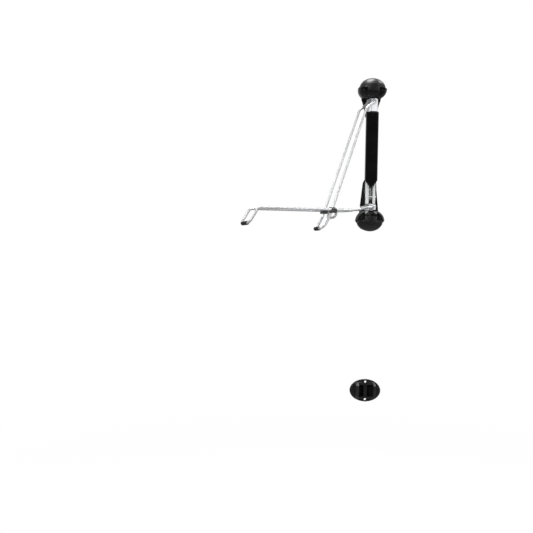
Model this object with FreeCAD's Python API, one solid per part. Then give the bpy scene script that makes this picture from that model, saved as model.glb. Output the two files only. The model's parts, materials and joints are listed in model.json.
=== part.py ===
import FreeCAD, Part
import math
import os

# Wall rack that hangs a bicycle by its front wheel, with a tail rest for the rear wheel.
# Millimetres. The wall is the plane y = 0, the room is on the -Y side and +Z is up.
# The origin is on the wall, midway between the two wall-bolt holes.

# Overall sizes
RACK_HEIGHT = 640.0
CAP_WIDTH = 120.0
CAP_HEIGHT = 96.0
AXIS_Y = -44.0  # the upright swivel axis stands this far off the wall
REST_TURN = -67.5  # the arms are swung to the left of straight out
ROD_DIA = 10.0
TAIL_REST_Z = -978.0

# End caps
CAP_Z = (RACK_HEIGHT - CAP_HEIGHT) / 2
CAP_DEPTH = 48.0  # from the swivel axis to the front of the dome
CAP_BACK_WIDTH = 112.0
CAP_BACK_HEIGHT = 88.0
CAP_FLAT_Z = 233.0  # the cap ends flat here, above the hinge bracket
DOME_INSET = 4.0
DOME_WALL = 3.0
LIP_WIDTH = 9.0
CAP_WALL = 3.0
CAP_RIB = 2.5
NECK_HALF = 23.8
POCKET_FLOOR_Y = -62.0
PLUG_HALF_WIDTH = 26.0
PLUG_HALF_HEIGHT = 18.0
PLUG_SEAT_Y = -81.0
PLUG_PROUD = 1.2
PLUG_STEM_END_Y = -66.0
ACCESS_RADIUS = 12.0
WALL_HOLE_RADIUS = 4.5
LUG_X = 35.0
LUG_DROP = 8.0
LUG_HALF = 6.0
LUG_THICK = 3.0
CAP_SCREW_RADIUS = 2.0
CAP_SCREW_HEAD = 4.5
CAP_SCREW_HEAD_LENGTH = 3.0
CAP_SCREW_END_Y = -42.0
SCREW_POST_RADIUS = 5.5

# Steel wall brackets and swivel bearings
PLATE = 4.0
WALL_LEG_Y = -8.0
WALL_LEG_TOP = 300.0
SHELF_Z = 236.0
SHELF_FRONT_Y = -58.0
BRACKET_HALF = 20.0
SHAFT_RADIUS = 6.0
RUNNING_GAP = 0.05
BUSH_RADIUS = 8.5
BUSH_FLANGE_RADIUS = 12.0
BUSH_FLANGE = 1.5
BUSH_TOP = 241.0
SPINDLE_TOP = 248.0
SPINDLE_POCKET_TOP = 250.0
SPINDLE_POCKET_RADIUS = 7.0
WASHER_THICK = 2.2

# Hinge brackets on the swivel
BRACKET_END = 229.0
TOP_BRACKET_FOOT = 176.0
BOTTOM_BRACKET_HEAD = -205.0
SHEET = 3.0
EAR_HALF = 20.5
EAR_BACK = 15.0
EAR_FRONT = 14.0
TOP_PIN_Z = 219.0
BOTTOM_PIN_Z = -216.0
PIN_RADIUS = 4.0
PIN_HEAD_RADIUS = 6.5
PIN_HEAD = 3.7
PIN_HEAD_ROUND = 1.5
SOCKET_ACROSS = 5.0
NUT_ACROSS = 11.0
RIVET_RADIUS = 8.0
RIVET = 2.0
EYE_RADIUS = 9.0
HINGE_L = 29.0  # sideways place of the arms' hinge eyes
CLEAR = 0.3

# Back housing, spine channel and front cover
HOUSING_DEPTH = 15.0
HOUSING_SKIN = 3.0
HOUSING_WAIST = 18.0  # half width behind the cover
HOUSING_SHOULDER = 27.5  # half width where it shows beside the channel
HOUSING_WAIST_Z = (-92.0, 154.0)
HOUSING_SHOULDER_Z = (-112.0, 174.0)
HOUSING_FLARE = ((31.5, 207.0), (40.0, 233.0))
HOUSING_FOOT = (39.5, -227.0)
HOUSING_END_HALF = 41.0
HOUSING_END = 245.0
HOUSING_HEAD_RELIEF_Z = (178.0, 200.0)
HOUSING_FOOT_RELIEF_Z = (-112.0, -138.0)
HOUSING_POCKET_X = (5.0, 14.0)
HOUSING_POCKET_PITCH = 60.0
HOUSING_POCKET_HALF = 27.0
CHANNEL_HALF = 19.5
CHANNEL_FRONT_Y = -57.0
CHANNEL_TOP = 172.0
CHANNEL_FOOT = -203.0
CHANNEL_SHEET = 2.0
CHANNEL_BEND = 4.0
SLOT_HALF = 8.0
NOTCH_Y = -32.0
COVER_HALF = 25.5
COVER_BACK_HALF = 22.5
COVER_TOP = 174.0
COVER_CORNER_Z = -108.0
COVER_TIP_Z = -139.0
COVER_FRONT_Y = -68.0
COVER_SKIRT_Y = -20.0
COVER_TIP_HALF = 3.0
COVER_CLIP_Z = (-80.0, 30.0, 140.0)
COVER_CLIP_HALF = 8.0
COVER_WALL = 3.0
COVER_SKIRT_WALL = 2.5
COVER_BEVEL = 4.0
CROSS_BOLT_Y = -52.6
CROSS_BOLT_Z = -174.0
CROSS_BOLT_RADIUS = 2.2
CROSS_BOLT_HEAD_RADIUS = 4.5
CROSS_BOLT_HEAD = 2.5
NOTCH_Z = (-150.0, -164.0)
SPINE_SCREW_Z = (-95.0, 10.0, 115.0)
SPINE_SCREW_RADIUS = 2.5
SPINE_SCREW_HEAD_RADIUS = 5.0
SPINE_SCREW_HEAD = 3.0
GUIDE_HEIGHT = 12.0
GUIDE_FEET = (-200.0, 140.0)

# Arms, as (outward, up from the hinge, sideways) from the swivel axis
UPPER_ARM = ((0, 0, 29), (43, -34, 29), (200, -481, 33), (220, -517, 33), (240, -533, 33))
UPPER_BENDS = (22, 60, 20, 13)
LOWER_ARM = ((0, 0, 29), (30, -3, 29), (67, -15, 37), (100, -19, 45), (513, -28, 45), (551, -88, 45))
LOWER_BENDS = (20, 40, 60, 16, 16)
INNER_STAY = ((191, -19, 33), (164, -19, 33), (180, -51, 33))
STAY_BENDS = (8, 12)
SLEEVE_RADIUS = 8.0
UPPER_SLEEVE_HALF = 18.0
LOWER_SLEEVE_HALF = 27.0
HOOK_OUT = 191.0
HOOK_HALF = 11.0
HOOK_INNER_L = 26.0
HOOK_OUTER_L = 54.0
HOOK_BELOW = 13.0
HOOK_ABOVE = 9.0
HOOK_LIP_ABOVE = 4.0
HOOK_ROUND = 3.0
SADDLE_GAP = 0.4

# Tail rest
TAIL_WIDTH = 128.0
TAIL_HEIGHT = 93.0
TAIL_FLANGE = 8.0
TAIL_FLANGE_ROUND = 3.0
TAIL_HOLE_SPACING = 73.0
TAIL_HOLE_RADIUS = 5.0
TAIL_BOSS_RADIUS = 9.5
TAIL_BOSS_Y = -13.0
FIN_OUTER = 40.0
FIN_INNER = 30.0
FIN_FRONT_Y = -50.0
FRAME_HALF_HEIGHT = 32.0
WELL_HALF_HEIGHT = 25.0
FRAME_DRAFT = 4.0
FRAME_CORNER = 10.0
WELL_CORNER = 5.0
TROUGH_RADIUS = 55.0
TROUGH_FLOOR_Y = -20.0
FIN_SHOULDER = 9.0
RIB_HALF = 7.0
RIB_END_HALF = 13.0
RIB_FLARE = 6.0
RIB_Y = -14.0
WELL_FLOOR_Y = -4.0

V = FreeCAD.Vector
X_AXIS = V(1, 0, 0)
Z_AXIS = V(0, 0, 1)
FAR = 200.0  # longer than any cut that has to run right through


def block(x0, x1, y0, y1, z0, z1):
    return Part.makeBox(x1 - x0, y1 - y0, z1 - z0, V(x0, y0, z0))


def bar(start, end, radius):
    run = end - start
    return Part.makeCylinder(radius, run.Length, start, run)


def bar_x(x0, x1, y, z, radius):
    return bar(V(x0, y, z), V(x1, y, z), radius)


def bar_y(x, y0, y1, z, radius):
    return bar(V(x, y0, z), V(x, y1, z), radius)


def bar_z(z0, z1, radius):
    """Upright bar on the swivel axis."""
    return bar(V(0, AXIS_Y, z0), V(0, AXIS_Y, z1), radius)


def ring_z(z0, z1, outer, inner):
    return bar_z(z0, z1, outer).cut(bar_z(z0 - 1, z1 + 1, inner))


def fused(pieces):
    return pieces[0].multiFuse(pieces[1:]).removeSplitter()


def mirrored_x(shape):
    return shape.mirror(V(0, 0, 0), X_AXIS)


def mirrored_z(shape):
    return shape.mirror(V(0, 0, 0), Z_AXIS)


def swung(shape):
    """Turn a piece of the swivel from straight out to where the arms rest."""
    turned = shape.copy()
    turned.rotate(V(0, AXIS_Y, 0), Z_AXIS, REST_TURN)
    return turned


def oval_wire(half_width, half_height, y, z):
    curve = Part.Ellipse(V(0, y, z), half_width, half_height)
    edge = curve.toShape()
    edge.rotate(V(0, y, z), X_AXIS, 90)
    return Part.Wire(edge)


def oval_bar(half_width, half_height, y0, y1, z):
    """Oval bar that runs along Y from y0 to y1."""
    return Part.Face(oval_wire(half_width, half_height, y0, z)).extrude(V(0, y1 - y0, 0))


def front_ball(half_width, half_depth, z):
    """Front half of an oval turned about its length, centred on the swivel axis."""
    arc = Part.Arc(Part.Ellipse(V(0, 0, 0), half_width, half_depth), 0, math.pi).toShape()
    chord = Part.makeLine(V(-half_width, 0, 0), V(half_width, 0, 0))
    section = Part.Face(Part.Wire([arc, chord]))
    section.rotate(V(0, 0, 0), X_AXIS, 90)
    centre = V(0, AXIS_Y, z)
    section.translate(centre)
    return section.revolve(centre, X_AXIS, 180).toNurbs()


def prism_x(points, half):
    """Side outline of (y, z) points, as wide as half each way."""
    corners = [V(-half, y, z) for y, z in points]
    return Part.Face(Part.makePolygon(corners + corners[:1])).extrude(V(2 * half, 0, 0))


def rounded_rectangle(half_width, half_height, corner, y, z):
    x, h, c = half_width, half_height, corner
    s = c * (1 - math.sqrt(0.5))
    edges = []
    for sx, sz in ((1, 1), (-1, 1), (-1, -1), (1, -1)):
        side_point = V(sx * x, y, z + sz * (h - c))
        mid_point = V(sx * (x - s), y, z + sz * (h - s))
        end_point = V(sx * (x - c), y, z + sz * h)
        if sx * sz < 0:
            side_point, end_point = end_point, side_point
        edges.append(Part.Arc(side_point, mid_point, end_point).toShape())
    wire = []
    for arc, following in zip(edges, edges[1:] + edges[:1]):
        wire.append(arc)
        wire.append(Part.makeLine(arc.Vertexes[-1].Point, following.Vertexes[0].Point))
    return Part.Wire(wire)


def bent_rod(points, bends, radius):
    """Round bar through the points, with a tangent arc at each inner point."""
    pieces = []
    start = points[0]
    for i, bend in enumerate(bends):
        corner = points[i + 1]
        into = (corner - points[i]).normalize()
        out = (points[i + 2] - corner).normalize()
        turn = into.getAngle(out)
        reach = bend * math.tan(turn / 2)
        arc_start = corner - into * reach
        normal = into.cross(out).normalize()
        centre = arc_start + normal.cross(into) * bend
        section = Part.Face(Part.Wire(Part.makeCircle(radius, arc_start, into)))
        pieces.append(bar(start, arc_start, radius))
        pieces.append(section.revolve(centre, normal, math.degrees(turn)))
        start = corner + out * reach
    pieces.append(bar(start, points[-1], radius))
    return fused(pieces)


def hairpin(places, bends, hinge_z, radius):
    """Rod down the near side, across, and back up the far side."""
    near = [V(l, AXIS_Y - r, hinge_z + z) for r, z, l in places]
    far = [V(-p.x, p.y, p.z) for p in reversed(near)]
    return bent_rod(near + far, bends + bends[::-1], radius)


# Fixed pieces on the wall

def housing_outline():
    """Back housing from the front: a narrow waist behind the cover, flared to both caps."""
    waist_low, waist_high = HOUSING_WAIST_Z
    shoulder_low, shoulder_high = HOUSING_SHOULDER_Z
    foot = V(HOUSING_FOOT[0], 0, HOUSING_FOOT[1])
    flare_middle, flare_end = [V(x, 0, z) for x, z in HOUSING_FLARE]
    low = [
        V(HOUSING_END_HALF, 0, -HOUSING_END), foot, V(HOUSING_SHOULDER, 0, shoulder_low),
        V(HOUSING_WAIST, 0, waist_low), V(HOUSING_WAIST, 0, waist_high), V(HOUSING_SHOULDER, 0, shoulder_high),
    ]
    side = [Part.makeLine(start, end) for start, end in zip(low, low[1:])]
    side.append(Part.Arc(low[-1], flare_middle, flare_end).toShape())
    side.append(Part.makeLine(flare_end, V(HOUSING_END_HALF, 0, HOUSING_END)))
    other = [mirrored_x(edge) for edge in side]
    ends = [
        Part.makeLine(V(HOUSING_END_HALF, 0, z), V(-HOUSING_END_HALF, 0, z)) for z in (-HOUSING_END, HOUSING_END)
    ]
    return Part.Face(Part.Wire(Part.__sortEdges__(side + other + ends)))


def housing_relief(start_z, skin_z, end_z):
    """Cut that thins the housing to its skin towards one end, past a slope."""
    deep, skin = -HOUSING_DEPTH, -HOUSING_SKIN
    return prism_x(((deep, start_z), (skin, skin_z), (skin, end_z), (-FAR, end_z), (-FAR, start_z)), FAR)


def back_housing():
    body = housing_outline().extrude(V(0, -HOUSING_DEPTH, 0))
    body = body.cut(housing_relief(*HOUSING_HEAD_RELIEF_Z, FAR * 2))
    body = body.cut(housing_relief(*HOUSING_FOOT_RELIEF_Z, -FAR * 2))
    near, far = HOUSING_POCKET_X
    for i in range(4):
        z = (i - 1) * HOUSING_POCKET_PITCH
        for x0, x1 in ((near, far), (-far, -near)):
            low, high = z - HOUSING_POCKET_HALF, z + HOUSING_POCKET_HALF
            body = body.cut(block(x0, x1, -HOUSING_DEPTH + HOUSING_SKIN, 1, low, high))
    return body.cut(spine_screws())


def spine_channel():
    width, depth = CHANNEL_HALF, (-HOUSING_DEPTH - CHANNEL_FRONT_Y) / 2
    middle_y = CHANNEL_FRONT_Y + depth

    def tube(wall):
        corner = CHANNEL_BEND - wall
        profile = rounded_rectangle(width - wall, depth - wall, corner, 0, 0)
        profile.rotate(V(0, 0, 0), X_AXIS, 90)
        profile.translate(V(0, middle_y, CHANNEL_FOOT))
        return Part.Face(profile).extrude(V(0, 0, CHANNEL_TOP - CHANNEL_FOOT))

    body = tube(0).cut(tube(CHANNEL_SHEET))
    slot_y = CHANNEL_FRONT_Y + CHANNEL_SHEET + 1
    body = body.cut(block(-SLOT_HALF, SLOT_HALF, -FAR, slot_y, -FAR * 2, FAR * 2))
    start, end = NOTCH_Z
    notch = ((0, start), (-HOUSING_DEPTH, start), (NOTCH_Y, end), (NOTCH_Y, -FAR * 2), (0, -FAR * 2))
    body = body.cut(prism_x(notch, FAR)).cut(channel_cross_bolt())
    return body.cut(spine_screws())


def spine_screws():
    screws = []
    seat = -HOUSING_DEPTH - CHANNEL_SHEET
    for z in SPINE_SCREW_Z:
        shank = bar_y(0, seat, -HOUSING_SKIN - 2, z, SPINE_SCREW_RADIUS)
        head = bar_y(0, seat - SPINE_SCREW_HEAD, seat, z, SPINE_SCREW_HEAD_RADIUS)
        screws.append(shank.fuse(head).removeSplitter())
    return Part.makeCompound(screws)


def channel_cross_bolt():
    """Bolt through both sides of the channel, just in front of the shaft."""
    end = CHANNEL_HALF + CROSS_BOLT_HEAD
    shank = bar_x(-CHANNEL_HALF, CHANNEL_HALF, CROSS_BOLT_Y, CROSS_BOLT_Z, CROSS_BOLT_RADIUS)
    head = bar_x(CHANNEL_HALF, end, CROSS_BOLT_Y, CROSS_BOLT_Z, CROSS_BOLT_HEAD_RADIUS)
    return fused([shank, head, mirrored_x(head)])


def shaft_guides():
    """Nylon blocks that fill the channel and steady the shaft."""
    half = CHANNEL_HALF - CHANNEL_SHEET
    front = CHANNEL_FRONT_Y + CHANNEL_SHEET
    guides = []
    for foot, back in zip(GUIDE_FEET, (NOTCH_Y, -HOUSING_DEPTH - CHANNEL_SHEET)):
        guide = block(-half, half, front, back, foot, foot + GUIDE_HEIGHT)
        upright = [e for e in guide.Edges if abs(e.tangentAt(e.FirstParameter).z) > 0.9]
        guide = guide.makeFillet(CHANNEL_BEND - CHANNEL_SHEET, upright)
        bore = bar_z(foot - 1, foot + GUIDE_HEIGHT + 1, SHAFT_RADIUS + RUNNING_GAP)
        guides.append(guide.cut(bore))
    return Part.makeCompound(guides)


def cover_outline(inset):
    half = COVER_HALF - inset
    top = COVER_TOP - inset
    corner_z = COVER_CORNER_Z + inset * 0.4
    tip, tip_z = COVER_TIP_HALF, COVER_TIP_Z + inset
    return [(-half, top), (half, top), (half, corner_z), (tip, tip_z), (-tip, tip_z), (-half, corner_z)]


def cover_prism(inset, y0, y1):
    corners = [V(x, y0, z) for x, z in cover_outline(inset)]
    return Part.Face(Part.makePolygon(corners + corners[:1])).extrude(V(0, y1 - y0, 0))


def upright_prism(points, z0, z1):
    """Plan of (x, y) points, drawn up from z0 to z1."""
    corners = [V(x, y, z0) for x, y in points]
    return Part.Face(Part.makePolygon(corners + corners[:1])).extrude(V(0, 0, z1 - z0))


def cover_skirt():
    """Side wall that leans in from the cover's edge towards the wall."""
    front, back = CHANNEL_FRONT_Y - 1, COVER_SKIRT_Y
    plan = (
        (COVER_HALF - COVER_WALL, front), (COVER_HALF, front),
        (COVER_BACK_HALF, back), (COVER_BACK_HALF - COVER_SKIRT_WALL, back),
    )
    return upright_prism(plan, COVER_CORNER_Z, COVER_TOP)


def front_cover():
    """Bevelled shell with a pointed foot and leaning sides, clipped over the channel."""
    body = cover_prism(0, COVER_FRONT_Y, CHANNEL_FRONT_Y)
    on_front = [e for e in body.Edges if e.BoundBox.YMax < COVER_FRONT_Y + 0.1]
    body = body.makeChamfer(COVER_BEVEL, on_front)
    body = body.cut(cover_prism(COVER_WALL, COVER_FRONT_Y + COVER_WALL, 0))
    skirt = cover_skirt()
    pads = [skirt, mirrored_x(skirt)]
    clip_back = CHANNEL_FRONT_Y + 2 * COVER_CLIP_HALF
    for z in COVER_CLIP_Z:
        low, high = z - COVER_CLIP_HALF, z + COVER_CLIP_HALF
        clip = block(CHANNEL_HALF, COVER_HALF - COVER_WALL, CHANNEL_FRONT_Y, clip_back, low, high)
        rail = block(SLOT_HALF + 3, CHANNEL_HALF - 1.5, COVER_FRONT_Y + COVER_WALL, CHANNEL_FRONT_Y, low, high)
        pads += [clip, mirrored_x(clip), rail, mirrored_x(rail)]
    return fused([body] + pads)


# End caps, drawn for the top of the rack

def between_heights(z_low, z_high):
    return block(-FAR, FAR, -FAR, FAR, z_low, z_high)


def access_bore():
    return bar_y(0, -FAR, WALL_LEG_Y - PLATE, CAP_Z, ACCESS_RADIUS)


def plug_pocket():
    return oval_bar(PLUG_HALF_WIDTH, PLUG_HALF_HEIGHT, -FAR, PLUG_SEAT_Y, CAP_Z)


def wall_hole():
    return bar_y(0, -FAR, 1, CAP_Z, WALL_HOLE_RADIUS)


def wall_bracket():
    """Steel angle: its upright leg is bolted to the wall, its shelf holds the bush."""
    leg = block(-BRACKET_HALF, BRACKET_HALF, WALL_LEG_Y - PLATE, WALL_LEG_Y, SHELF_Z, WALL_LEG_TOP)
    shelf = block(-BRACKET_HALF, BRACKET_HALF, SHELF_FRONT_Y, WALL_LEG_Y, SHELF_Z, SHELF_Z + PLATE)
    body = leg.fuse(shelf).removeSplitter()
    inside_bend = [
        e for e in body.Edges
        if abs(e.CenterOfMass.y - WALL_LEG_Y + PLATE) < 0.1 and abs(e.CenterOfMass.z - SHELF_Z - PLATE) < 0.1
    ]
    body = body.makeFillet(PLATE, inside_bend)
    return body.cut(wall_hole()).cut(bar_z(0, FAR * 2, BUSH_RADIUS))


def bush():
    flange = bar_z(CAP_FLAT_Z - BUSH_FLANGE, CAP_FLAT_Z, BUSH_FLANGE_RADIUS)
    body = bar_z(CAP_FLAT_Z, BUSH_TOP, BUSH_RADIUS).fuse(flange).removeSplitter()
    return body.cut(bar_z(0, FAR * 2, SHAFT_RADIUS + RUNNING_GAP))


def cap_screws():
    screws = []
    seat = POCKET_FLOOR_Y - LUG_THICK
    for x in (-LUG_X, LUG_X):
        z = CAP_Z - LUG_DROP
        shank = bar_y(x, seat, CAP_SCREW_END_Y, z, CAP_SCREW_RADIUS)
        head = bar_y(x, seat - CAP_SCREW_HEAD_LENGTH, seat, z, CAP_SCREW_HEAD)
        screws.append(shank.fuse(head).removeSplitter())
    return Part.makeCompound(screws)


def cap_core():
    """Hollow behind each side of the cap, open to the wall, with a rib and a post for the screw."""
    inside = Part.makeLoft([
        oval_wire(CAP_BACK_WIDTH / 2 - CAP_WALL, CAP_BACK_HEIGHT / 2 - CAP_WALL, 1, CAP_Z),
        oval_wire(CAP_WIDTH / 2 - CAP_WALL, CAP_HEIGHT / 2 - CAP_WALL, AXIS_Y, CAP_Z),
    ], True)
    behind_pocket = oval_bar(
        CAP_WIDTH / 2 - LIP_WIDTH, CAP_HEIGHT / 2 - LIP_WIDTH, AXIS_Y, POCKET_FLOOR_Y + CAP_WALL, CAP_Z)
    outboard = NECK_HALF + CAP_WALL
    rib = CAP_RIB / 2
    upper = block(outboard, FAR, AXIS_Y + CAP_WALL, FAR, CAP_Z + rib, FAR * 2)
    lower = block(outboard, FAR, -FAR, FAR, CAP_FLAT_Z + CAP_WALL, CAP_Z - rib)
    side = inside.common(upper).fuse(inside.fuse(behind_pocket).common(lower))
    post = bar_y(LUG_X, -FAR, CAP_SCREW_END_Y + CAP_WALL, CAP_Z - LUG_DROP, SCREW_POST_RADIUS)
    side = side.cut(post)
    return side.fuse(mirrored_x(side))


def cap_base():
    """Dish against the wall with a raised lip, and a neck that covers the bearing."""
    half_width, half_height = CAP_WIDTH / 2, CAP_HEIGHT / 2
    dish = Part.makeLoft([
        oval_wire(CAP_BACK_WIDTH / 2, CAP_BACK_HEIGHT / 2, 0, CAP_Z),
        oval_wire(half_width, half_height, AXIS_Y, CAP_Z),
    ], True)
    front = front_ball(half_width, CAP_DEPTH, CAP_Z).common(between_heights(0, CAP_Z))
    pocket = oval_bar(half_width - LIP_WIDTH, half_height - LIP_WIDTH, -FAR, POCKET_FLOOR_Y, CAP_Z)
    neck = block(-NECK_HALF, NECK_HALF, -FAR, 0, 0, CAP_Z)
    body = dish.fuse(front.cut(pocket.cut(neck)))
    body = body.cut(between_heights(0, CAP_FLAT_Z))
    body = body.cut(bar_z(0, BUSH_TOP, BUSH_RADIUS))
    body = body.cut(bar_z(0, SPINDLE_POCKET_TOP, SPINDLE_POCKET_RADIUS))
    for tool in (cap_core(), plug_pocket(), access_bore(), wall_hole(), wall_bracket(), cap_screws()):
        body = body.cut(tool)
    return body


def cap_dome():
    """Hollow half shell over the outer half of the cap, held by two lugs."""
    half_width = CAP_WIDTH / 2 - DOME_INSET
    depth = CAP_DEPTH - DOME_INSET
    outer = front_ball(half_width, depth, CAP_Z).common(between_heights(CAP_Z, FAR * 2))
    inner = front_ball(half_width - DOME_WALL, depth - DOME_WALL, CAP_Z)
    shell = outer.cut(inner.common(between_heights(CAP_Z + DOME_WALL, FAR * 2)))
    plug_seat = oval_bar(
        PLUG_HALF_WIDTH + DOME_WALL, PLUG_HALF_HEIGHT + DOME_WALL, -FAR, PLUG_SEAT_Y + DOME_WALL, CAP_Z)
    shell = shell.fuse(plug_seat.common(outer))
    seat = POCKET_FLOOR_Y - LUG_THICK
    for x in (-LUG_X, LUG_X):
        foot = CAP_Z - LUG_DROP
        tongue = block(x - LUG_HALF, x + LUG_HALF, seat, POCKET_FLOOR_Y, foot, CAP_Z + 1)
        shell = shell.fuse(tongue).fuse(bar_y(x, seat, POCKET_FLOOR_Y, foot, LUG_HALF))
    shell = shell.cut(plug_pocket()).cut(access_bore()).cut(cap_screws())
    return shell.removeSplitter()


def cap_plug():
    """Oval button over the wall bolt, with a stem that grips the access hole."""
    lens = front_ball(CAP_WIDTH / 2 + PLUG_PROUD, CAP_DEPTH + PLUG_PROUD, CAP_Z)
    lens = lens.common(oval_bar(PLUG_HALF_WIDTH, PLUG_HALF_HEIGHT, -FAR, PLUG_SEAT_Y, CAP_Z))
    stem = bar_y(0, PLUG_SEAT_Y, PLUG_STEM_END_Y, CAP_Z, ACCESS_RADIUS)
    hollow = bar_y(0, PLUG_SEAT_Y, PLUG_STEM_END_Y + 1, CAP_Z, ACCESS_RADIUS - 2)
    return lens.fuse(stem).removeSplitter().cut(hollow)


# Pieces of the swivel, drawn straight out from the wall

def hinge_bracket(foot, head, pin_z):
    """Box of bent sheet, open to the front and back, with an ear on each side."""
    front, back = AXIS_Y - EAR_FRONT, AXIS_Y + EAR_BACK
    outer = block(-EAR_HALF, EAR_HALF, front, back, foot, head)
    along = [e for e in outer.Edges if abs(e.tangentAt(e.FirstParameter).y) > 0.9]
    outer = outer.makeFillet(SHEET, along)
    inner = EAR_HALF - SHEET
    body = outer.cut(block(-inner, inner, -FAR, FAR, foot + SHEET, head - SHEET))
    body = body.cut(bar_x(-FAR, FAR, AXIS_Y, pin_z, PIN_RADIUS))
    return body.cut(bar_z(-FAR * 2, FAR * 2, SHAFT_RADIUS))


def pivot_shaft():
    """Turned shaft with a shoulder and a riveted end at each bracket."""
    low, high = BOTTOM_BRACKET_HEAD, TOP_BRACKET_FOOT
    return fused([
        bar_z(low - SHEET, high + SHEET, SHAFT_RADIUS),
        bar_z(low, low + SHEET, RIVET_RADIUS),
        bar_z(high - SHEET, high, RIVET_RADIUS),
        bar_z(low - SHEET - RIVET, low - SHEET, RIVET_RADIUS),
        bar_z(high + SHEET, high + SHEET + RIVET, RIVET_RADIUS),
    ])


def spindle():
    """Short stub from the bracket into the bush, riveted inside the bracket."""
    under = BRACKET_END - SHEET
    return bar_z(under, SPINDLE_TOP, SHAFT_RADIUS).fuse(bar_z(under - RIVET, under, RIVET_RADIUS)).removeSplitter()


def thrust_washers():
    top = ring_z(BRACKET_END, BRACKET_END + WASHER_THICK, BUSH_FLANGE_RADIUS, SHAFT_RADIUS + 0.1)
    return Part.makeCompound([top, mirrored_z(top)])


def eye_span():
    """Inner and outer face of a hinge eye, sideways from the middle."""
    return HINGE_L - ROD_DIA / 2, HINGE_L + ROD_DIA / 2


def hinge_washers():
    eye_inner = eye_span()[0]
    rings = []
    for z in (TOP_PIN_Z, BOTTOM_PIN_Z):
        ring = bar_x(EAR_HALF, eye_inner - CLEAR, AXIS_Y, z, PIN_HEAD_RADIUS + 1)
        ring = ring.cut(bar_x(0, FAR, AXIS_Y, z, PIN_RADIUS))
        rings += [ring, mirrored_x(ring)]
    return Part.makeCompound([swung(ring) for ring in rings])


def hexagon_x(x0, x1, z, across):
    radius = across / math.sqrt(3)
    points = []
    for i in range(6):
        angle = math.radians(60 * i + 30)
        points.append(V(x0, AXIS_Y + radius * math.cos(angle), z + radius * math.sin(angle)))
    return Part.Face(Part.makePolygon(points + points[:1])).extrude(V(x1 - x0, 0, 0))


def hinge_bolt(z):
    """Button-head bolt right through the bracket, with a hexagon socket on the near side."""
    seat = eye_span()[1] + CLEAR
    shank = bar_x(-seat - PIN_HEAD, seat, AXIS_Y, z, PIN_RADIUS)
    head = bar_x(seat, seat + PIN_HEAD, AXIS_Y, z, PIN_HEAD_RADIUS)
    rim = [e for e in head.Edges if e.CenterOfMass.x > seat + PIN_HEAD - 0.1]
    head = head.makeFillet(PIN_HEAD_ROUND, rim)
    body = shank.fuse(head).removeSplitter()
    return body.cut(hexagon_x(seat + 1, seat + PIN_HEAD + 1, z, SOCKET_ACROSS))


def hinge_nuts():
    seat = -eye_span()[1] - CLEAR
    nuts = []
    for z in (TOP_PIN_Z, BOTTOM_PIN_Z):
        nut = hexagon_x(seat - PIN_HEAD, seat, z, NUT_ACROSS)
        nuts.append(swung(nut.cut(bar_x(-FAR, FAR, AXIS_Y, z, PIN_RADIUS))))
    return Part.makeCompound(nuts)


# Arms, drawn straight out from the wall

def with_eyes(arm, pin_z):
    """Add the two hinge eyes and bore them for the hinge bolt."""
    inner, outer = eye_span()
    eyes = [
        bar_x(inner, outer, AXIS_Y, pin_z, EYE_RADIUS),
        bar_x(-outer, -inner, AXIS_Y, pin_z, EYE_RADIUS),
    ]
    body = fused([arm] + eyes)
    return body.cut(bar_x(-FAR, FAR, AXIS_Y, pin_z, PIN_RADIUS + RUNNING_GAP))


def upper_arm():
    rod = hairpin(UPPER_ARM, UPPER_BENDS, TOP_PIN_Z, ROD_DIA / 2)
    stay = hairpin(INNER_STAY, STAY_BENDS, BOTTOM_PIN_Z, ROD_DIA / 2)
    return with_eyes(rod.fuse(stay), TOP_PIN_Z)


def lower_arm():
    rod = hairpin(LOWER_ARM, LOWER_BENDS, BOTTOM_PIN_Z, ROD_DIA / 2)
    return with_eyes(rod, BOTTOM_PIN_Z)


def sleeve(place, half, pin_z):
    r, z, _ = place
    y, height = AXIS_Y - r, pin_z + z
    tube = bar_x(-half, half, y, height, SLEEVE_RADIUS)
    return tube.cut(bar_x(-FAR, FAR, y, height, ROD_DIA / 2))


def lower_rod_height(out):
    """Height of the lower arm's long straight run at a distance out from the axis."""
    (r0, z0, _), (r1, z1, _) = LOWER_ARM[3:5]
    return BOTTOM_PIN_Z + z0 + (z1 - z0) * (out - r0) / (r1 - r0)


def link_hook():
    """Nylon hook on the upper arm, with a saddle that the lower arm drops into."""
    y0, y1 = AXIS_Y - HOOK_OUT - HOOK_HALF, AXIS_Y - HOOK_OUT + HOOK_HALF
    z = lower_rod_height(HOOK_OUT)
    rod_l = LOWER_ARM[4][2]
    groove = ROD_DIA / 2 + SADDLE_GAP
    shoulder = rod_l - groove
    body = block(HOOK_INNER_L, shoulder, y0, y1, z - HOOK_BELOW, z + HOOK_ABOVE)
    body = body.fuse(block(shoulder, HOOK_OUTER_L, y0, y1, z - HOOK_BELOW, z + HOOK_LIP_ABOVE))
    body = body.removeSplitter()
    along = [
        e for e in body.Edges
        if abs(e.tangentAt(e.FirstParameter).y) > 0.9 and abs(e.CenterOfMass.x - shoulder) > 1
    ]
    body = body.makeFillet(HOOK_ROUND, along)
    near, far = HOOK_OUT - 2 * HOOK_HALF, HOOK_OUT + 2 * HOOK_HALF
    rest = bar(V(rod_l, AXIS_Y - near, lower_rod_height(near)), V(rod_l, AXIS_Y - far, lower_rod_height(far)), groove)
    opening = block(shoulder, rod_l + groove, y0 - 1, y1 + 1, z, z + FAR)
    body = body.cut(rest).cut(opening)
    return body.cut(upper_arm())


# Tail rest, a separate moulding lower on the wall

def tail_frame(half_width, half_height, corner, draft, y0, y1):
    return Part.makeLoft([
        rounded_rectangle(half_width + draft, half_height + draft, corner + draft, y0, TAIL_REST_Z),
        rounded_rectangle(half_width, half_height, corner, y1, TAIL_REST_Z),
    ], True)


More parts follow.
